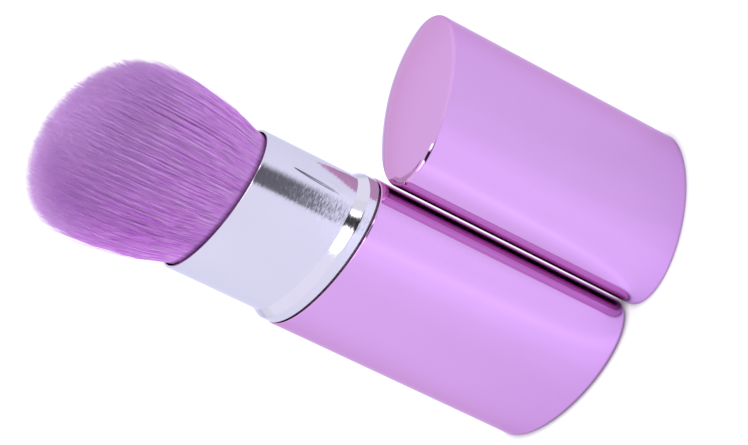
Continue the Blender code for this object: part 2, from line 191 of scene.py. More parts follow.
sleeve = {
    "corner": 1.0 * mm,
    "lipRound": 0.25 * mm,
    "wall": 0.7 * mm,
    "floor": 0.8 * mm,
    "cornerSteps": 10,
    "lipSteps": 4,
    "wallRings": 8,
}


def makeSleeve(s):
    top = sleeveHigh.z
    rings = arc(s["corner"], s["corner"], s["corner"], -90, 0, s["cornerSteps"])
    wallFoot, wallTop = s["corner"], top - s["lipRound"]
    rings += wallRings(0, wallFoot, wallTop, s["wallRings"])
    rings += arc(s["lipRound"], wallTop, s["lipRound"], 0, 90, s["lipSteps"])
    rings.append(inset(s["wall"], top))
    rings.append(inset(s["wall"], s["floor"]))
    return drawnShell("sleeve_drawn", rings, "face", filled=True)


# Collar: a plain land, its rounded edge, the lean up to the wall, a fillet, and the pressed ribs

collar = {
    "wall": 0.5 * mm,
    "setback": 1.2 * mm,
    "bandSetback": 0.2 * mm,
    "bandWall": 0.5 * mm,
    "land": 1.7 * mm,
    "round": 1.0 * mm,
    "fillet": 0.6 * mm,
    "lean": 30,
    "foot": 0.15 * mm,
    "footRise": 0.05 * mm,
    "edge": 0.15 * mm,
    "bed": 1.9 * mm,
    "sides": 720,
    "footSteps": 7,
    "edgeSteps": 4,
    "roundSteps": 10,
    "landRings": 3,
    "wallRings": 48,
}

rib = {
    "length": 10.4 * mm,
    "width": 2.0 * mm,
    "rise": 0.22 * mm,
    "peak": -0.7,
    "belowMouth": 5.4 * mm,
    "ovalAngle": -9.0,
    "slant": -4.0,
    "outerSkin": 0.98,
}


def shoulderRings(c):
    foot = collarLow.z + c["land"]
    lean = math.radians(c["lean"])
    rings = arc(c["bandSetback"] + c["round"], foot, c["round"], 0, c["lean"], c["roundSteps"])
    turned = 1 - math.cos(lean)
    across = c["setback"] - c["bandSetback"] - (c["round"] + c["fillet"]) * turned
    leanTop = foot + c["round"] * math.sin(lean) + across / math.tan(lean)
    filletTop = leanTop + c["fillet"] * math.sin(lean)
    centre = c["setback"] - c["fillet"]
    return rings + arc(centre, filletTop, -c["fillet"], c["lean"], 0, c["roundSteps"])


def pressRibs(piece, c, r):
    # Moves the wall outward along two slim lenses, one at each end of the oval
    long, short = halfLong - c["setback"], halfShort - c["setback"]
    angle = math.radians(r["ovalAngle"])
    start = Vector((long * math.cos(angle), short * math.sin(angle)))
    outward = Vector((start.x / long**2, start.y / short**2)).normalized()
    sideways = Vector((-outward.y, outward.x))
    middleZ = mouthZ - r["belowMouth"] - r["length"] / 2
    lean = math.tan(math.radians(r["slant"]))
    for vert in piece.data.vertices:
        flip = 1 if vert.co.x > 0 else -1
        x, y, z = vert.co.x * flip, vert.co.y * flip, vert.co.z
        # The inside of the wall stays as it is
        if (x / long) ** 2 + (y / short) ** 2 < r["outerSkin"]:
            continue
        along = (z - middleZ) / (r["length"] / 2)
        aside = (Vector((x, y)) - start).dot(sideways) + lean * (z - middleZ)
        across = aside / (r["width"] / 2)
        # One flank is steep and the other gentle
        across = (across - r["peak"]) / (1 - r["peak"] * (1 if across > r["peak"] else -1))
        lens = math.sqrt(max(0, 1 - along**2)) - abs(across)
        if lens <= 0:
            continue
        push = outward * r["rise"] * lens * flip
        vert.co.x += push.x
        vert.co.y += push.y


def makeCollar(c, r):
    foot = collarLow.z + c["footRise"]
    wallInner = c["setback"] + c["wall"]
    bandInner = c["bandSetback"] + c["bandWall"]
    bed = collarLow.z + c["bed"]
    rings = arc(c["bandSetback"] + c["foot"], foot + c["foot"], c["foot"], -90, 0, c["footSteps"])
    rings += wallRings(c["bandSetback"], foot + c["foot"], collarLow.z + c["land"], c["landRings"])
    rings += shoulderRings(c)
    rings += wallRings(c["setback"], rings[-1][2], mouthZ - c["edge"], c["wallRings"])
    wallTop = mouthZ - c["edge"]
    rings += arc(c["setback"] + c["edge"], wallTop, c["edge"], 0, 90, c["edgeSteps"])
    rings += arc(wallInner - c["edge"], wallTop, c["edge"], 90, 180, c["edgeSteps"])
    leanRise = (wallInner - bandInner) / math.tan(math.radians(c["lean"]))
    rings.append(inset(wallInner, bed + leanRise))
    rings.append(inset(bandInner, bed))
    rings.append(inset(bandInner, foot))
    piece = drawnShell("collar_drawn", rings, "ring", sides=c["sides"])
    pressRibs(piece, c, r)
    return piece


# Cap: a drawn cup, mouth down, with a low dome

cap = {
    "wall": 0.7 * mm,
    "corner": 0.9 * mm,
    "innerCorner": 0.2 * mm,
    "cornerTurn": 70,
    "dome": 3.05 * mm,
    "lip": 0.15 * mm,
    "lipSteps": 3,
    "cornerSteps": 10,
    "domeSteps": 22,
    "wallRings": 8,
    "poleShare": 0.03,
    "closer": 0.15 * mm,
}


def domeRings(c, edge, top, outward):
    # Rings between a small one round the crown and the edge ring
    long, short, foot = edge
    first, steps = c["poleShare"], c["domeSteps"]
    shares = [first + (1 - first) * i / steps for i in range(steps + 1)]
    rings = [(long * share, short * share, foot + (top - foot) * (1 - share**2)) for share in shares]
    return rings if outward else rings[::-1]


def makeCap(c):
    # From the top of its inside, down and round the lip, then up the outside to the crown
    crown = capHigh.z - c["dome"]
    wallTop = crown - c["corner"]
    innerDepth = c["wall"] + c["innerCorner"]
    innerEdge = inset(innerDepth, crown - c["wall"])
    rings = domeRings(c, innerEdge, capHigh.z - c["wall"], outward=True)
    rings += arc(innerDepth, crown - innerDepth, c["innerCorner"], 90, 0, c["lipSteps"])[1:]
    rings.append(inset(c["wall"], 0))
    rings += arc(c["lip"], c["lip"], c["lip"], -90, 0, c["lipSteps"])
    rings += wallRings(0, c["lip"], wallTop, c["wallRings"])
    rings += arc(c["corner"], wallTop, c["corner"], 0, c["cornerTurn"], c["cornerSteps"])
    rings += domeRings(c, rings[-1], capHigh.z, outward=False)[1:]
    piece = drawnShell("cap_drawn", rings, "pole", filled=True)
    # Its long axis is modelled on X, and the frame has it on Y
    piece.rotation_euler.z = math.pi / 2
    piece.location = (capMiddle.x - c["closer"], capMiddle.y - c["closer"], 0)
    bpy.ops.object.transform_apply(location=True, rotation=True, scale=True)
    return piece


# Sliding tube and the bush it runs in, which show when the collar is raised

runner = {
    "edge": 0.2 * mm,
    "tubeWall": 0.9 * mm,
    "bushWall": 0.7 * mm,
    "slideGap": 0.3 * mm,
    "flange": 2.5 * mm,
    "bushDeeper": 0.8 * mm,
}


def makeTube(r):
    stop = halfLong - sliderHigh.x
    tube = stop + r["bushWall"] + r["slideGap"]
    bore = tube + r["tubeWall"]
    flangeTop = sliderLow.z + r["flange"]
    rings = [
        inset(stop, sliderLow.z),
        inset(stop, flangeTop),
        inset(tube, flangeTop),
        inset(tube, sliderHigh.z - r["edge"]),
        inset(tube + r["edge"], sliderHigh.z),
        inset(bore, sliderHigh.z),
        inset(bore, sliderLow.z),
    ]
    return drawnShell("tube_moulded", rings, "ring")


def makeBush(r):
    outer = halfLong - bushHigh.x
    bore = outer + r["bushWall"]
    top = bushHigh.z - r["bushDeeper"]
    rings = [
        inset(outer + r["edge"], bushLow.z),
        inset(outer, bushLow.z + r["edge"]),
        inset(outer, top - r["edge"]),
        inset(outer + r["edge"], top),
        inset(bore, top),
        inset(bore, bushLow.z),
    ]
    return drawnShell("bush_moulded", rings, "ring")


sleevePiece = makeSleeve(sleeve)
collarPiece = makeCollar(collar, rib)
capPiece = makeCap(cap)
tubePiece = makeTube(runner)
bushPiece = makeBush(runner)
print("shells made")


# Bristle head: fine fibres in sectors, each with an axis and the share of its reach that fits the sliding
# tube at full travel; nothing here moves them

tuft = {
    "fibres": 40000,
    "sectors": 24,
    "root": (14.15 * mm, 6.2 * mm),
    "mouth": (16.75 * mm, 8.8 * mm),
    "widest": (19.95 * mm, 11.2 * mm),
    "widestAboveMouth": 20.0 * mm,
    "flarePower": 2.6,
    "dome": 11.3 * mm,
    "tipScatter": 2.1 * mm,
    "tipSpread": (-1, 0.3, 0.7),
    "sideScatter": 0.7 * mm,
    "sideTail": 3.0,
    "radius": 0.055 * mm,
    "taperLength": 12.0 * mm,
    "tipShare": 0.08,
    "clump": 0.02 * mm,
    "stray": 0.3 * mm,
    "clumpsAcross": 26.0,
    "clumpLength": 30 * mm,
    "fringe": 2.0 * mm,
    "mostLoose": 1.6,
    "stations": (0.0, 0.3, 0.42, 0.58, 0.78, 0.92, 1.0),
    "fibreSides": 3,
    "gatheredClearance": 1.3 * mm,
    "seed": 11,
}


def flare(t, share):
    return 1 - (1 - np.clip(share, 0, 1)) ** t["flarePower"]


def ovalAt(t, height):
    # Half axes of the head at each height: straight to the mouth, then flaring
    rootZ = bristlesLow.z
    spread = flare(t, (height - mouthZ) / t["widestAboveMouth"])
    below = np.clip((height - rootZ) / (mouthZ - rootZ), 0, 1)
    axes = []
    for root, mouth, widest in zip(t["root"], t["mouth"], t["widest"]):
        straight, flared = root + (mouth - root) * below, mouth + (widest - mouth) * spread
        axes.append(np.where(height < mouthZ, straight, flared))
    return axes


def fibrePaths(t):
    # One row of points for each fibre, spread evenly over the oval by the golden angle
    draw = np.random.default_rng(t["seed"])
    noise.seed_set(t["seed"])  # left alone, this noise starts from the clock
    count = t["fibres"]
    order = np.arange(count) + 0.5
    away = np.sqrt(order / count)
    turn = order * math.pi * (3 - math.sqrt(5))
    u, v = away * np.cos(turn), away * np.sin(turn)
    widestZ = mouthZ + t["widestAboveMouth"]
    surface = widestZ + t["dome"] * np.sqrt(1 - away**2)
    tip = surface + draw.triangular(*t["tipSpread"], count) * t["tipScatter"]
    share = np.array(t["stations"])
    height = bristlesLow.z + (tip[:, None] - bristlesLow.z) * share[None]
    long, short = ovalAt(t, height)
    x, y = u[:, None] * long, v[:, None] * short
    # Above the mouth the fibres stray, and lean together in small clumps
    loose = np.clip((height - mouthZ) / (widestZ - mouthZ), 0, t["mostLoose"])
    outward = np.stack([np.cos(turn), np.sin(turn)])[..., None]
    stray = draw.normal(0, t["stray"], (2, count, 1))
    stray += draw.exponential(t["sideScatter"] / t["sideTail"], (count, 1)) * outward
    clump = np.zeros((2, count, len(share)))
    for i in range(count):
        for k in range(2, len(share)):
            up = height[i, k] / t["clumpLength"]
            place = (u[i] * t["clumpsAcross"], v[i] * t["clumpsAcross"], up)
            clump[:, i, k] = noise.noise_vector(place).xy
    x += (stray[0] + clump[0] * t["clump"]) * loose
    y += (stray[1] + clump[1] * t["clump"]) * loose
    fade = np.clip((tip[:, None] - height) / t["taperLength"], 0, 1)
    thick = t["tipShare"] + (1 - t["tipShare"]) * fade
    # Each fibre's own place across the head, with each point's height, for the finish to read
    acrossX = np.repeat(u[:, None] * long.max(), len(share), 1)
    acrossY = np.repeat(v[:, None] * short.max(), len(share), 1)
    places = np.stack([acrossX, acrossY, height], -1)
    marks = {
        "fibrePlace": places,
        "fibreTone": np.repeat(draw.uniform(0, 1, (count, 1)), len(share), 1),
        "fibreTip": np.clip(1 - (tip[:, None] - height) / t["fringe"], 0, 1),
    }
    return np.stack([x, y, height], -1), thick, turn, marks


def addProfile(t):
    # Outline that every fibre is swept from
    outline = bpy.data.curves.new("fibre_outline", "CURVE")
    edge = outline.splines.new("POLY")
    edge.points.add(t["fibreSides"] - 1)
    for i, point in enumerate(edge.points):
        turn = 2 * math.pi * i / t["fibreSides"]
        point.co = (t["radius"] * math.cos(turn), t["radius"] * math.sin(turn), 0, 1)
    edge.use_cyclic_u = True
    made = bpy.data.objects.new("fibre_outline", outline)
    bpy.context.scene.collection.objects.link(made)
    return made


def growSector(t, number, paths, thick, marks, outline):
    selectNothing()
    curve = bpy.data.curves.new("head", "CURVE")
    curve.dimensions = "3D"
    curve.bevel_mode = "OBJECT"
    curve.bevel_object = outline
    count = len(t["stations"])
    for path, width in zip(paths, thick):
        spline = curve.splines.new("POLY")
        spline.points.add(count - 1)
        spline.points.foreach_set("co", np.hstack([path, np.ones((count, 1))]).ravel())
        spline.points.foreach_set("radius", width)
    piece = bpy.data.objects.new(f"bristles_{number:02d}", curve)
    bpy.context.scene.collection.objects.link(piece)
    piece.select_set(True)
    bpy.context.view_layer.objects.active = piece
    bpy.ops.object.convert(target="MESH")
    piece = bpy.context.object
    for name, values in marks.items():
        kind, field = ("FLOAT_VECTOR", "vector") if values.ndim == 3 else ("FLOAT", "value")
        mark = piece.data.attributes.new(name, kind, "POINT")
        values = np.repeat(values, t["fibreSides"], axis=1)
        mark.data.foreach_set(field, values.ravel().astype(np.float32))
    bpy.ops.object.mode_set(mode="EDIT")
    bpy.ops.mesh.select_all(action="SELECT")
    bpy.ops.mesh.fill_holes(sides=t["fibreSides"])
    bpy.ops.object.mode_set(mode="OBJECT")
    bpy.ops.object.shade_smooth()
    return piece


def gatherShare(t, axis, turns):
    # What is left of a sector's reach once its outermost fibres fit the sliding tube at full travel
    bore = sliderHigh.x - runner["bushWall"] - runner["slideGap"] - runner["tubeWall"]
    setIn = halfLong - bore + t["gatheredClearance"]
    fitLong, fitShort = halfLong - setIn, halfShort - setIn
    inward = axis.normalized()
    keep = 1.0
    for turn in turns:
        point = Vector((t["widest"][0] * math.cos(turn), t["widest"][1] * math.sin(turn), 0))
        moves = inward * point.dot(inward)
        stays = point - moves
        # Where the point meets the fitting oval, once both are scaled to a circle of 1
        moves, stays = (Vector((v.x / fitLong, v.y / fitShort)) for v in (moves, stays))
        half = moves.dot(stays) / moves.length_squared
        room = (1 - stays.length_squared) / moves.length_squared
        keep = min(keep, math.sqrt(half**2 + room) - half)
    return keep


def makeBristles(t):
    paths, thick, turn, marks = fibrePaths(t)
    outline = addProfile(t)
    made = []
    step = 2 * math.pi / t["sectors"]
    owner = (np.mod(turn, 2 * math.pi) // step).astype(int)
    for number in range(t["sectors"]):
        chosen = owner == number
        own = {name: values[chosen] for name, values in marks.items()}
        piece = growSector(t, number + 1, paths[chosen], thick[chosen], own, outline)
        middle = (number + 0.5) * step
        axis = Vector((t["widest"][0] * math.cos(middle), t["widest"][1] * math.sin(middle), 0))
        turns = [(number + share) * step for share in (0, 0.25, 0.5, 0.75, 1)]
        made.append((piece, axis, gatherShare(t, axis, turns)))
    bpy.data.objects.remove(outline)
    return made


bristlePieces = makeBristles(tuft)
print("bristle head grown,", sum(len(piece.data.polygons) for piece, _, _ in bristlePieces), "faces")


# Finishes

def addNode(tree, kind, values=None, **settings):
    node = tree.nodes.new(kind)
    for key, value in settings.items():
        setattr(node, key, value)
    for key, value in (values or {}).items():
        node.inputs[key].default_value = value
    return node


def fineLinesGroup():
    # Fine lines from noise stretched in Object space, drawn along Z or brushed round it.
    # They turn each point's normal a little round the brush's axis and tip it, as such metal does
    group = bpy.data.node_groups.new("fineLines", "ShaderNodeTree")
    for name in ("Around per Metre", "Along per Metre", "Turn", "Tip"):
        group.interface.new_socket(name, in_out="INPUT", socket_type="NodeSocketFloat")
    group.interface.new_socket("Normal", in_out="OUTPUT", socket_type="NodeSocketVector")
    came = group.nodes.new("NodeGroupInput")
    goes = group.nodes.new("NodeGroupOutput")
    place = addNode(group, "ShaderNodeTexCoord")
    surface = addNode(group, "ShaderNodeNewGeometry")
    stretch = addNode(group, "ShaderNodeCombineXYZ")
    scaled = addNode(group, "ShaderNodeVectorMath", operation="MULTIPLY")
    lines = addNode(group, "ShaderNodeTexNoise", {"Scale": 1.0, "Detail": 3.0, "Roughness": 0.6})
    centred = addNode(group, "ShaderNodeVectorMath", {1: (0.5, 0.5, 0.5)}, operation="SUBTRACT")
    share = addNode(group, "ShaderNodeSeparateXYZ")
    turnBy = addNode(group, "ShaderNodeMath", operation="MULTIPLY")
    tipBy = addNode(group, "ShaderNodeMath", operation="MULTIPLY")
    around = addNode(group, "ShaderNodeVectorMath", {0: (0, 0, 1)}, operation="CROSS_PRODUCT")
    sideways = addNode(group, "ShaderNodeVectorMath", operation="SCALE")
    upward = addNode(group, "ShaderNodeCombineXYZ")
    turned = addNode(group, "ShaderNodeVectorMath", operation="ADD")
    tipped = addNode(group, "ShaderNodeVectorMath", operation="ADD")
    unit = addNode(group, "ShaderNodeVectorMath", operation="NORMALIZE")
    link = group.links.new
    link(came.outputs["Around per Metre"], stretch.inputs["X"])
    link(came.outputs["Around per Metre"], stretch.inputs["Y"])
    link(came.outputs["Along per Metre"], stretch.inputs["Z"])
    link(place.outputs["Object"], scaled.inputs[0])
    link(stretch.outputs["Vector"], scaled.inputs[1])
    link(scaled.outputs["Vector"], lines.inputs["Vector"])
    link(lines.outputs["Color"], centred.inputs[0])
    link(centred.outputs["Vector"], share.inputs["Vector"])
    link(share.outputs["X"], turnBy.inputs[0])
    link(came.outputs["Turn"], turnBy.inputs[1])
    link(share.outputs["Y"], tipBy.inputs[0])
    link(came.outputs["Tip"], tipBy.inputs[1])
    link(surface.outputs["Normal"], around.inputs[1])
    link(around.outputs["Vector"], sideways.inputs[0])
    link(turnBy.outputs["Value"], sideways.inputs["Scale"])
    link(tipBy.outputs["Value"], upward.inputs["Z"])
    link(surface.outputs["Normal"], turned.inputs[0])
    link(sideways.outputs["Vector"], turned.inputs[1])
    link(turned.outputs["Vector"], tipped.inputs[0])
    link(upward.outputs["Vector"], tipped.inputs[1])
    link(tipped.outputs["Vector"], unit.inputs[0])
    link(unit.outputs["Vector"], goes.inputs["Normal"])
    return group


def mottleGroup():
    # Colour and gloss that vary a little: faint smudges on metal, a fine mottle in plastic
    group = bpy.data.node_groups.new("mottle", "ShaderNodeTree")
    for name in ("Dark", "Light"):
        group.interface.new_socket(name, in_out="INPUT", socket_type="NodeSocketColor")
    for name in ("Smooth", "Rough", "Scale", "Detail"):
        group.interface.new_socket(name, in_out="INPUT", socket_type="NodeSocketFloat")
    group.interface.new_socket("Colour", in_out="OUTPUT", socket_type="NodeSocketColor")
    group.interface.new_socket("Roughness", in_out="OUTPUT", socket_type="NodeSocketFloat")
    came = group.nodes.new("NodeGroupInput")
    goes = group.nodes.new("NodeGroupOutput")
    place = addNode(group, "ShaderNodeTexCoord")
    cloud = addNode(group, "ShaderNodeTexNoise", {"Roughness": 0.5})
    tint = addNode(group, "ShaderNodeMix", data_type="RGBA")
    gloss = addNode(group, "ShaderNodeMapRange")
    link = group.links.new
    link(place.outputs["Object"], cloud.inputs["Vector"])
    link(came.outputs["Scale"], cloud.inputs["Scale"])
    link(came.outputs["Detail"], cloud.inputs["Detail"])
    link(cloud.outputs["Fac"], tint.inputs["Factor"])
    link(came.outputs["Dark"], tint.inputs["A"])
    link(came.outputs["Light"], tint.inputs["B"])
    link(cloud.outputs["Fac"], gloss.inputs["Value"])
    link(came.outputs["Smooth"], gloss.inputs["To Min"])
    link(came.outputs["Rough"], gloss.inputs["To Max"])
    link(tint.outputs["Result"], goes.inputs["Colour"])
    link(gloss.outputs["Result"], goes.inputs["Roughness"])
    return group


def startMaterial(name):
    made = bpy.data.materials.new(name)
    made.use_nodes = True
    return made, made.node_tree, made.node_tree.nodes["Principled BSDF"]


def addMottle(tree, shader, m):
    marks = addNode(tree, "ShaderNodeGroup", node_tree=mottle)
    marks.inputs["Dark"].default_value = (*m["dark"], 1)
    marks.inputs["Light"].default_value = (*m["light"], 1)
    marks.inputs["Smooth"].default_value = m["smooth"]
    marks.inputs["Rough"].default_value = m["rough"]
    marks.inputs["Scale"].default_value = m["mottle"]
    marks.inputs["Detail"].default_value = m["detail"]
    tree.links.new(marks.outputs["Colour"], shader.inputs["Base Color"])
    tree.links.new(marks.outputs["Roughness"], shader.inputs["Roughness"])


def metalFinish(name, m):
    made, tree, shader = startMaterial(name)
    shader.inputs["Metallic"].default_value = 1.0
    shader.inputs["Specular Tint"].default_value = (*m["edge"], 1)
    addMottle(tree, shader, m)
    lines = addNode(tree, "ShaderNodeGroup", node_tree=grain)
    lines.inputs["Around per Metre"].default_value = m["around"]
    lines.inputs["Along per Metre"].default_value = m["along"]
    lines.inputs["Turn"].default_value = m["turn"]
    lines.inputs["Tip"].default_value = m["tip"]
    tree.links.new(lines.outputs["Normal"], shader.inputs["Normal"])
    return made


def mottledFinish(name, m):
    # Moulded plastic, resin, rubber and plated steel
    made, tree, shader = startMaterial(name)
    shader.inputs["Metallic"].default_value = m["metal"]
    addMottle(tree, shader, m)
    return made


def fibreFinish(name, m):
    # Each fibre has its own tone and small locks lie darker; a painted shade darkens them just above the
    # mouth, and the tips are painted darker against the light they catch from above
    made, tree, shader = startMaterial(name)
    shader.inputs["Roughness"].default_value = m["rough"]
    shader.inputs["Specular IOR Level"].default_value = m["specular"]
    shader.inputs["Subsurface Weight"].default_value = m["glow"]
    shader.inputs["Subsurface Radius"].default_value = m["glowColour"]
    shader.inputs["Subsurface Scale"].default_value = m["glowDepth"]
    place = addNode(tree, "ShaderNodeAttribute", attribute_name="fibrePlace")
    stretch = addNode(tree, "ShaderNodeVectorMath", {1: m["locks"]}, operation="MULTIPLY")
    locks = addNode(tree, "ShaderNodeTexNoise", {"Scale": 1.0, "Detail": 2.0})
    dim, bright = m["lockTones"]
    lockTone = addNode(tree, "ShaderNodeMapRange", {"From Min": dim, "From Max": bright})
    parts = addNode(tree, "ShaderNodeSeparateXYZ")
    # Painted shade: the fibres turn to the shade colour over a short rise just above the collar's mouth
    top, depth = mouthZ + m["shadeRise"], m["shadeDepth"]
    shade = addNode(tree, "ShaderNodeMapRange", {"From Min": top, "From Max": top - depth})
    tone = addNode(tree, "ShaderNodeAttribute", attribute_name="fibreTone")
    tip = addNode(tree, "ShaderNodeAttribute", attribute_name="fibreTip")
    blend = addNode(tree, "ShaderNodeMix", {"Factor": m["own"]}, data_type="FLOAT")
    ends = {"A": (*m["dark"], 1), "B": (*m["light"], 1)}
    tint = addNode(tree, "ShaderNodeMix", ends, data_type="RGBA")
    # Painted shade at the tips: they take a deeper colour to offset the light that falls on the top of the
    # head
    tipped = addNode(tree, "ShaderNodeMix", {"B": (*m["tip"], 1)}, data_type="RGBA")
    paintedMouthShade = addNode(tree, "ShaderNodeMix", {"B": (*m["shade"], 1)}, data_type="RGBA")
    link = tree.links.new
    link(place.outputs["Vector"], stretch.inputs[0])
    link(stretch.outputs["Vector"], locks.inputs["Vector"])
    link(locks.outputs["Fac"], lockTone.inputs["Value"])
    link(lockTone.outputs["Result"], blend.inputs["A"])
    link(tone.outputs["Fac"], blend.inputs["B"])
    link(blend.outputs["Result"], tint.inputs["Factor"])
    link(tint.outputs["Result"], tipped.inputs["A"])
    link(tip.outputs["Fac"], tipped.inputs["Factor"])
    link(tipped.outputs["Result"], paintedMouthShade.inputs["A"])
    link(place.outputs["Vector"], parts.inputs["Vector"])
    link(parts.outputs["Z"], shade.inputs["Value"])
    link(shade.outputs["Result"], paintedMouthShade.inputs["Factor"])
    link(paintedMouthShade.outputs["Result"], shader.inputs["Base Color"])
    return made


grain = fineLinesGroup()
mottle = mottleGroup()

lilac = metalFinish("lilac_anodised", {
    "dark": (0.63, 0.34, 0.55), "light": (0.66, 0.36, 0.58), "edge": (0.8, 0.62, 0.7),
    "smooth": 0.07, "rough": 0.12, "mottle": 90.0, "detail": 3.0,
    "around": 2600.0, "along": 25.0, "turn": 0.02, "tip": 0.0,
})
silver = metalFinish("silver_satin", {
    "dark": (0.64, 0.605, 0.565), "light": (0.67, 0.635, 0.595), "edge": (0.9, 0.9, 0.88),
    "smooth": 0.1, "rough": 0.14, "mottle": 90.0, "detail": 3.0,
    "around": 1000.0, "along": 4200.0, "turn": 0.12, "tip": 0.11,
})
plastic = mottledFinish("white_plastic", {
    "dark": (0.7, 0.7, 0.72), "light": (0.78, 0.78, 0.8),
    "smooth": 0.35, "rough": 0.5, "mottle": 400.0, "detail": 4.0, "metal": 0.0,
})
steel = mottledFinish("plated_steel", {
    "dark": (0.38, 0.38, 0.4), "light": (0.48, 0.48, 0.5),
    "smooth": 0.3, "rough": 0.5, "mottle": 900.0, "detail": 4.0, "metal": 1.0,
})
resin = mottledFinish("set_resin", {
    "dark": (0.7, 0.6, 0.4), "light": (0.78, 0.69, 0.48),
    "smooth": 0.15, "rough": 0.3, "mottle": 300.0, "detail": 4.0, "metal": 0.0,
})
rubber = mottledFinish("soft_rubber", {
    "dark": (0.04, 0.04, 0.05), "light": (0.07, 0.07, 0.08),
    "smooth": 0.7, "rough": 0.9, "mottle": 1500.0, "detail": 4.0, "metal": 0.0,
})
fibre = fibreFinish("lilac_fibre", {
    "dark": (0.7, 0.2, 0.84), "light": (0.93, 0.46, 0.98),
    # The tip colour is painted shade against the light from above; the shade colour is painted shade at the
    # mouth
    "tip": (0.44, 0.1, 0.52), "shade": (0.07, 0.02, 0.1),
    "rough": 0.45, "specular": 0.45, "glow": 0.6, "glowColour": (1.0, 0.55, 1.0), "glowDepth": 0.2 * mm,
    "locks": (2600, 2600, 330), "lockTones": (0.33, 0.63), "own": 0.35,
    # Rise and depth of the painted shade just above the collar's mouth
    "shadeRise": 0.9 * mm, "shadeDepth": 1.4 * mm,
})


def paint(piece, finish):
    piece.data.materials.clear()
    piece.data.materials.append(finish)


finishOfNode = {
    "base_weight": steel,
    "base_plug": plastic,
    "post_screw_1": steel,
    "post_screw_2": steel,
    "core_post": plastic,
    "ferrule_cup": plastic,
    "tuft_resin": resin,
    "drag_ring": rubber,
    "collar_carrier": plastic,
}
for name, finish in finishOfNode.items():
    paint(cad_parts[name], finish)

for piece, finish, body, node, slot in (
    (sleevePiece, lilac, "handle", "outer_sleeve", "lilac_metal"),
    (collarPiece, silver, "collar", "collar_shell", "silver_metal"),
    (capPiece, lilac, "cap", "cap_shell", "lilac_metal"),
    (tubePiece, plastic, "collar", "slider_tube", "white_plastic"),
    (bushPiece, plastic, "handle", "guide_bush", "white_plastic"),
):
    paint(piece, finish)
    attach(piece, body)
    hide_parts(node)

for piece, axis, keep in bristlePieces:
    paint(piece, fibre)
    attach(piece, "handle")
    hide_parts("bristles")
    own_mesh(piece)
print("finishes set")


# Floor, soft boxes and a pale surround. What the metal mirrors is set apart from what the camera sees

studio = {
    "lampColour": (0.86, 0.87, 1.0),
    "floorSize": 6.0,
    "floorDrop": 0.05 * mm,
    "floorColour": 0.5,
    "floorSeen": (0.64, 0.64, 0.60),
    "floorMirrored": (0.40, 0.425, 0.745),
    "surroundSeen": (1.4, 1.4, 1.4),
    "surroundMirrored": (1.02, 1.05, 1.33),
    "surround": (0.76, 0.77, 0.88),
    "middle": Vector((12.0, 10.0, 0.0)) * mm,
    # Reach and samples of the painted contact shadow in the floor's glow
    "contact": 1.2 * mm,
    "contactSamples": 8,
}

# Painted pool of light on the floor towards the lamps, seen only in reflections: azimuth from the middle, and
# how much is added there
pool = {
    "turns": ((-180, 0.0), (-163, 0.0), (-135, 0.06), (-115, 0.05), (-98, 0.16), (-80, 0.4),
              (-69, 0.66), (-57, 0.36), (-45, 0.3), (-33, 0.32), (-21, 0.34), (-10, 0.22),
              (5, 0.06), (30, 0.0), (180, 0.0)),
    "fades": (0.15, 0.18),
}

# Painted shade on the floor in front, seen only in reflections: a dark patch sharp on one side, soft on the
# other, and past what the sleeve mirrors
paintedDarkPatch = {
    "turns": ((-67, 0.0), (-64, 1.0), (-37, 1.0), (-18, 0.0)),
    "starts": (0.158, 0.19),
    "share": 0.86,
}


def addSwitch(tree, seen, mirrored, other):
    # One colour for camera rays, one for reflections, one for the light that the surface gives
    ray = addNode(tree, "ShaderNodeLightPath")
    unseen = {"A": (*other, 1), "B": (*mirrored, 1)}
    first = addNode(tree, "ShaderNodeMix", unseen, data_type="RGBA")
    through = addNode(tree, "ShaderNodeMath", operation="MAXIMUM")
    second = addNode(tree, "ShaderNodeMix", {"B": (*seen, 1)}, data_type="RGBA")
    link = tree.links.new
    link(ray.outputs["Is Glossy Ray"], through.inputs[0])
    link(ray.outputs["Is Transmission Ray"], through.inputs[1])
    link(through.outputs[0], first.inputs["Factor"])
    link(first.outputs["Result"], second.inputs["A"])
    link(ray.outputs["Is Camera Ray"], second.inputs["Factor"])
    return second.outputs["Result"], ray.outputs["Is Glossy Ray"]


def addTurnMask(tree, turn, steps):
    # A smooth mask of the azimuth, through the given degrees and values
    ramp = addNode(tree, "ShaderNodeValToRGB")
    ramp.color_ramp.interpolation = "EASE"
    marks = ramp.color_ramp.elements
    while len(marks) < len(steps):
        marks.new(0.5)
    for mark, (degrees, value) in zip(marks, steps):
        mark.position = (degrees + 180) / 360
        mark.color = (value, value, value, 1)
    tree.links.new(turn, ramp.inputs["Fac"])
    return ramp.outputs["Color"]


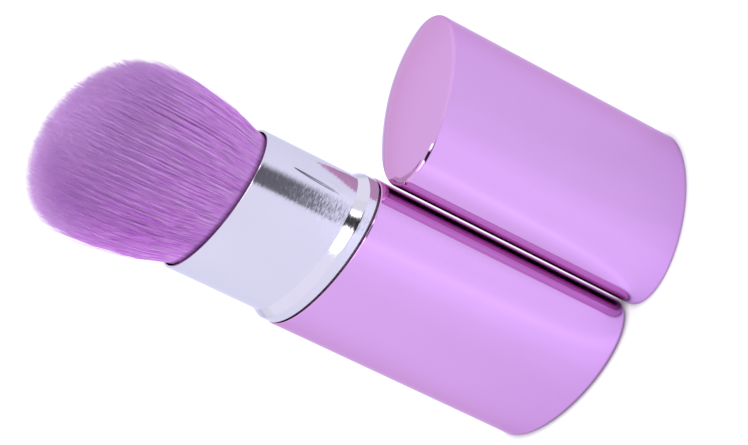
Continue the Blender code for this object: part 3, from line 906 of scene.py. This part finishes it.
def addFloorMasks(tree, s):
    # Masks of the painted pool of light and of the painted dark patch, from the floor's own coordinates
    link = tree.links.new
    place = addNode(tree, "ShaderNodeTexCoord")
    moved = addNode(tree, "ShaderNodeVectorMath", {1: s["middle"]}, operation="SUBTRACT")
    parts = addNode(tree, "ShaderNodeSeparateXYZ")
    angle = addNode(tree, "ShaderNodeMath", operation="ARCTAN2")
    turn = addNode(tree, "ShaderNodeMapRange", {"From Min": -math.pi, "From Max": math.pi})
    reach = addNode(tree, "ShaderNodeVectorMath", operation="LENGTH")
    link(place.outputs["Object"], moved.inputs[0])
    link(moved.outputs["Vector"], parts.inputs["Vector"])
    link(parts.outputs["Y"], angle.inputs[0])
    link(parts.outputs["X"], angle.inputs[1])
    link(angle.outputs["Value"], turn.inputs["Value"])
    link(moved.outputs["Vector"], reach.inputs[0])
    masks = []
    for steps, (near, far), values in (
        (pool["turns"], pool["fades"], (1.0, 0.0)),
        (paintedDarkPatch["turns"], paintedDarkPatch["starts"], (0.0, paintedDarkPatch["share"])),
    ):
        limits = {"From Min": near, "From Max": far, "To Min": values[0], "To Max": values[1]}
        fade = addNode(tree, "ShaderNodeMapRange", limits, interpolation_type="SMOOTHSTEP")
        both = addNode(tree, "ShaderNodeMath", operation="MULTIPLY")
        link(reach.outputs["Value"], fade.inputs["Value"])
        link(fade.outputs["Result"], both.inputs[0])
        link(addTurnMask(tree, turn.outputs["Result"], steps), both.inputs[1])
        masks.append(both.outputs["Value"])
    return masks


def addFloor(s):
    selectNothing()
    bpy.ops.mesh.primitive_plane_add(size=s["floorSize"], location=(0, 0, -s["floorDrop"]))
    floor = bpy.context.object
    floor.name = "floor"
    made, tree, shader = startMaterial("pale_floor")
    link = tree.links.new
    glow, glossy = addSwitch(tree, s["floorSeen"], s["floorMirrored"], (0, 0, 0))
    pooled, paintedDarkMask = addFloorMasks(tree, s)
    # For reflections: the glow times (1 + painted pool of light), and all of it dimmed under the painted dark
    # patch
    grown = addNode(tree, "ShaderNodeMath", {1: 1.0}, operation="ADD")
    hidden = addNode(tree, "ShaderNodeMath", operation="MULTIPLY")
    left = addNode(tree, "ShaderNodeMath", {0: 1.0}, operation="SUBTRACT")
    # Painted contact shadow: ambient occlusion darkens the floor's glow, seen and mirrored, close under the
    # pieces
    near = addNode(tree, "ShaderNodeAmbientOcclusion", {"Distance": s["contact"]})
    near.samples = s["contactSamples"]
    strength = addNode(tree, "ShaderNodeMath", operation="MULTIPLY")
    contact = addNode(tree, "ShaderNodeMath", operation="MULTIPLY")
    mirrored = addNode(tree, "ShaderNodeMix", {"A": 1.0}, data_type="FLOAT")
    ends = {"A": (0, 0, 0, 1), "B": (*[s["floorColour"]] * 3, 1)}
    base = addNode(tree, "ShaderNodeMix", ends, data_type="RGBA")
    link(pooled, grown.inputs[0])
    link(paintedDarkMask, hidden.inputs[0])
    link(glossy, hidden.inputs[1])
    link(hidden.outputs["Value"], left.inputs[1])
    link(grown.outputs["Value"], strength.inputs[0])
    link(left.outputs["Value"], strength.inputs[1])
    link(strength.outputs["Value"], mirrored.inputs["B"])
    link(glossy, mirrored.inputs["Factor"])
    link(left.outputs["Value"], base.inputs["Factor"])
    link(base.outputs["Result"], shader.inputs["Base Color"])
    link(glow, shader.inputs["Emission Color"])
    link(mirrored.outputs["Result"], contact.inputs[0])
    link(near.outputs["AO"], contact.inputs[1])
    link(contact.outputs["Value"], shader.inputs["Emission Strength"])
    shader.inputs["Roughness"].default_value = 1.0
    shader.inputs["Specular IOR Level"].default_value = 0.0
    floor.data.materials.append(made)


def addSurround(s):
    world = bpy.data.worlds.new("studio")
    bpy.context.scene.world = world
    world.use_nodes = True
    tree = world.node_tree
    colour, _ = addSwitch(tree, s["surroundSeen"], s["surroundMirrored"], s["surround"])
    tree.links.new(colour, tree.nodes["Background"].inputs["Color"])


# Lamps, each turned to the camera's aim from its azimuth and elevation. Three are kept out of the metal
softBoxes = {
    "box_left": {
        "azimuth": -66, "elevation": 26, "distance": 0.6,
        "size": (0.075, 0.42), "radiance": 3.6, "mirrored": True,
    },
    "box_left_spill": {
        "azimuth": -84, "elevation": 26, "distance": 0.6,
        "size": (0.3, 0.42), "radiance": 1.45, "mirrored": True,
    },
    "box_right": {
        "azimuth": -34, "elevation": 26, "distance": 0.6,
        "size": (0.09, 0.42), "radiance": 3.2, "mirrored": True,
    },
    "rim_left": {
        "azimuth": -150, "elevation": 35, "distance": 0.5,
        "size": (0.4, 0.4), "radiance": 2.1, "mirrored": False,
    },
    "rim_right": {
        "azimuth": 62, "elevation": 35, "distance": 0.5,
        "size": (0.4, 0.4), "radiance": 1.1, "mirrored": False,
    },
    "fill_front": {
        "azimuth": -15, "elevation": 15, "distance": 0.6,
        "size": (0.5, 0.4), "radiance": 1.35, "mirrored": False,
    },
}

# Upright cards, dark or glowing, which only the metal sees: painted reflections that neither light nor shade
# anything else
cards = {
    "painted_dark_reflection": {
        "turns": (-62, -40), "reach": 0.4, "height": 0.42, "grey": 0.03, "glow": (0, 0, 0),
    },
    "painted_glow_left": {
        "turns": (-172, -86), "reach": 0.6, "height": 0.4, "grey": 0.0, "glow": (1.12, 1.13, 1.52),
    },
    "painted_glow_right": {
        "turns": (0, 88), "reach": 0.6, "height": 0.4, "grey": 0.0, "glow": (1.1, 1.12, 1.45),
    },
}


def addSoftBox(name, b):
    az, el = math.radians(b["azimuth"]), math.radians(b["elevation"])
    toward = Vector((math.cos(az) * math.cos(el), math.sin(az) * math.cos(el), math.sin(el)))
    bpy.ops.object.light_add(type="AREA", location=camera["aim"] + toward * b["distance"])
    lamp = bpy.context.object
    lamp.name = name
    lamp.data.shape = "RECTANGLE"
    lamp.data.size, lamp.data.size_y = b["size"]
    lamp.data.color = studio["lampColour"]
    lamp.data.energy = b["radiance"] * math.pi * b["size"][0] * b["size"][1]
    lamp.rotation_euler = toward.to_track_quat("Z", "Y").to_euler()
    lamp.visible_glossy = b["mirrored"]


def addCard(name, c):
    start, end = (math.radians(degrees) for degrees in c["turns"])
    corners = []
    for turn, z in ((start, 0), (end, 0), (end, c["height"]), (start, c["height"])):
        corners.append((c["reach"] * math.cos(turn), c["reach"] * math.sin(turn), z))
    sheet = bpy.data.meshes.new(name)
    sheet.from_pydata(corners, [], [(0, 1, 2, 3)])
    card = bpy.data.objects.new(name, sheet)
    bpy.context.scene.collection.objects.link(card)
    made, _, shader = startMaterial(name)
    shader.inputs["Base Color"].default_value = (*[c["grey"]] * 3, 1)
    shader.inputs["Roughness"].default_value = 1.0
    shader.inputs["Specular IOR Level"].default_value = 0.0
    shader.inputs["Emission Color"].default_value = (*c["glow"], 1)
    shader.inputs["Emission Strength"].default_value = 1.0
    sheet.materials.append(made)
    # Seen only in reflections: a painted dark or bright reflection
    card.visible_camera = False
    card.visible_shadow = False
    card.visible_diffuse = False
    card.visible_transmission = False


addFloor(studio)
addSurround(studio)
for name, box in softBoxes.items():
    addSoftBox(name, box)
for name, card in cards.items():
    addCard(name, card)

bpy.context.scene.view_settings.view_transform = "Standard"
print("studio set")
